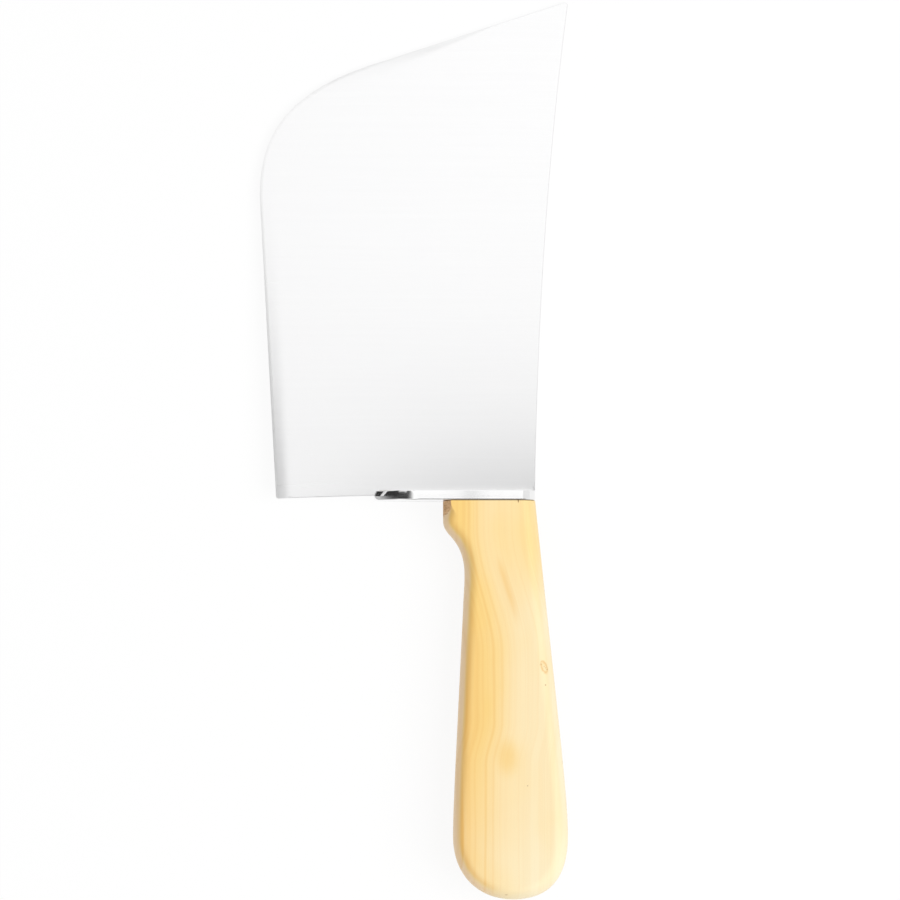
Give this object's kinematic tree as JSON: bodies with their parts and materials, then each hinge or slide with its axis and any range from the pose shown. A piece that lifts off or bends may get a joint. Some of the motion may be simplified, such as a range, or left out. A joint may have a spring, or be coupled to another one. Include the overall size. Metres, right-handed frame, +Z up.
{
  "type": "kitchen cleaver",
  "caption": "Kitchen cleaver for chopping and slicing: wide satin steel blade with a curved belly and hollow spine, polished bolster with a forward nose, one-piece boxwood handle.",
  "frame": {"origin": "middle of the footprint as the cleaver lies on its side, level with the lower face of the handle", "axes": "+X from the cutting edge to the spine, +Y from the butt of the handle to the tip of the blade, +Z up, square to the blade"},
  "size_m": [0.1122, 0.326, 0.02],
  "materials": {
    "blade_steel": "satin, ground across the blade",
    "polished_steel": "mirror polished",
    "braze": "bright silver braze",
    "boxwood": "sanded and oiled, satin",
    "resin": "cast, matt"
  },
  "bodies": {
    "root": {"blade": "blade_steel", "bolster": "polished_steel", "braze_seam": "braze", "handle": "boxwood", "tang_resin": "resin"}
  },
  "joints": []
}
